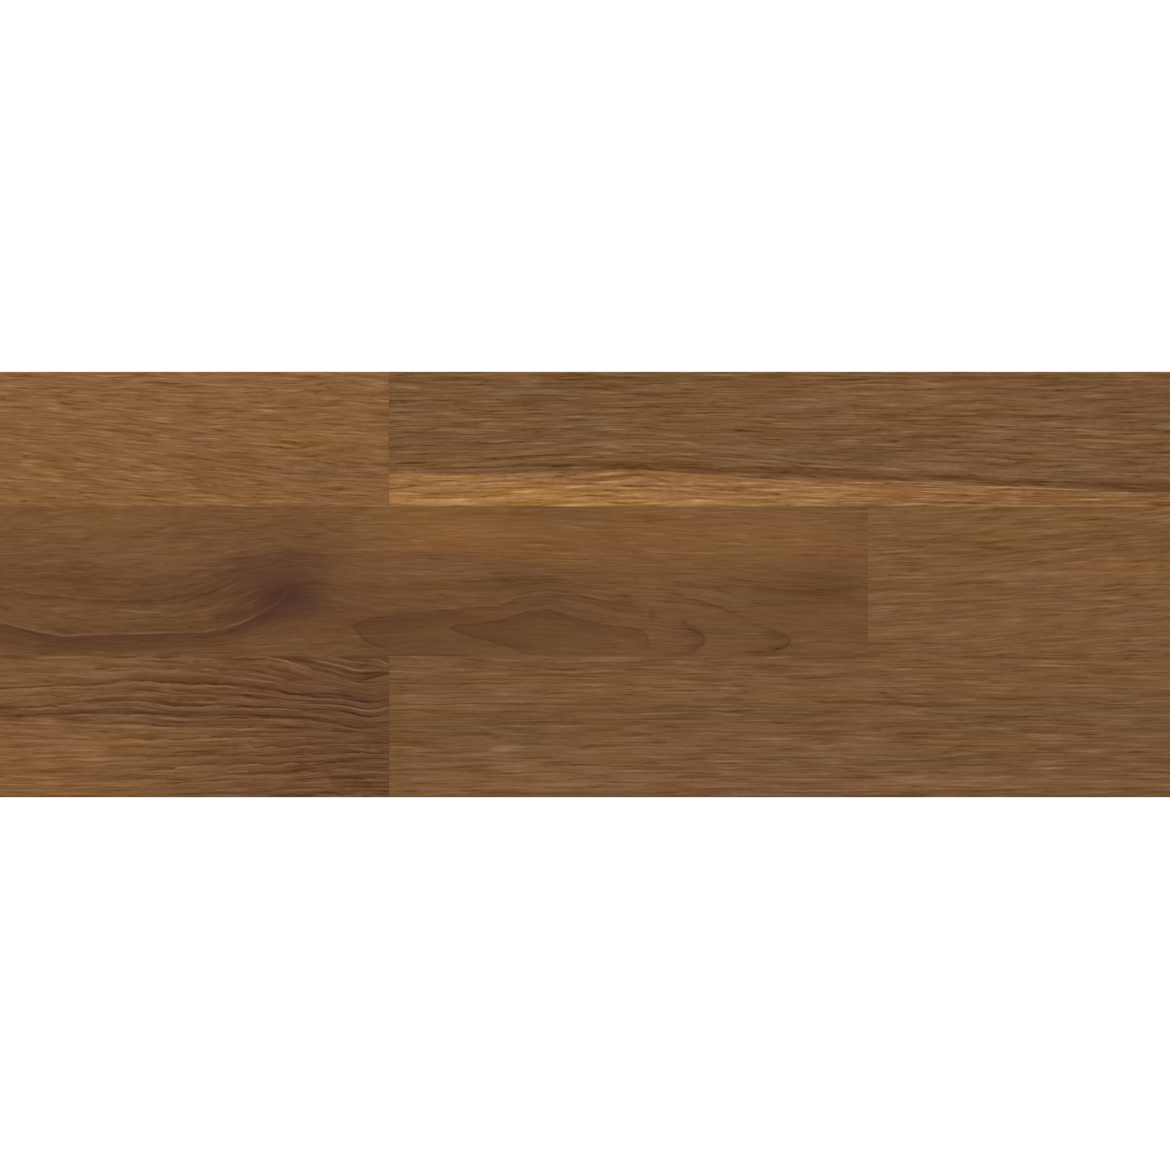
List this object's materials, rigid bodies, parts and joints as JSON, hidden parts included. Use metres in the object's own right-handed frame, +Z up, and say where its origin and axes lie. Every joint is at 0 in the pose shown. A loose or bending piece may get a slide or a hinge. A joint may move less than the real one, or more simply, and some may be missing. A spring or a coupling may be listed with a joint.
{
  "type": "parquet board",
  "caption": "Long flat parquet board: rows of brown fumed-oak staves on a cross-laid spruce core with a backing veneer, grooved all round, for laying as flooring.",
  "frame": {"origin": "under the centre of the face, on the underside that lies on the subfloor", "axes": "+X along the board, +Y across it from the front row to the back row, +Z up through the oak face"},
  "size_m": [2.2, 0.207, 0.014],
  "materials": {
    "fumed_oak_brown": "brushed, matt oiled",
    "fumed_oak_amber": "brushed, matt oiled",
    "fumed_oak_dark": "brushed, matt oiled",
    "spruce_core": "raw sawn, milled edges",
    "spruce_backing": "raw sanded veneer"
  },
  "bodies": {
    "root": {"back_row_stave_1": "fumed_oak_amber", "back_row_stave_2": "fumed_oak_dark", "back_row_stave_3": "fumed_oak_amber", "back_row_stave_4": "fumed_oak_brown", "back_row_stave_5": "fumed_oak_brown", "back_row_stave_6": "fumed_oak_amber", "backing_veneer": "spruce_backing", "core_slats": "spruce_core", "front_row_stave_1": "fumed_oak_dark", "front_row_stave_2": "fumed_oak_brown", "front_row_stave_3": "fumed_oak_dark", "front_row_stave_4": "fumed_oak_brown", "front_row_stave_5": "fumed_oak_amber", "front_row_stave_6": "fumed_oak_brown", "middle_row_stave_1": "fumed_oak_dark", "middle_row_stave_2": "fumed_oak_brown", "middle_row_stave_3": "fumed_oak_dark", "middle_row_stave_4": "fumed_oak_brown", "middle_row_stave_5": "fumed_oak_amber"}
  },
  "joints": []
}
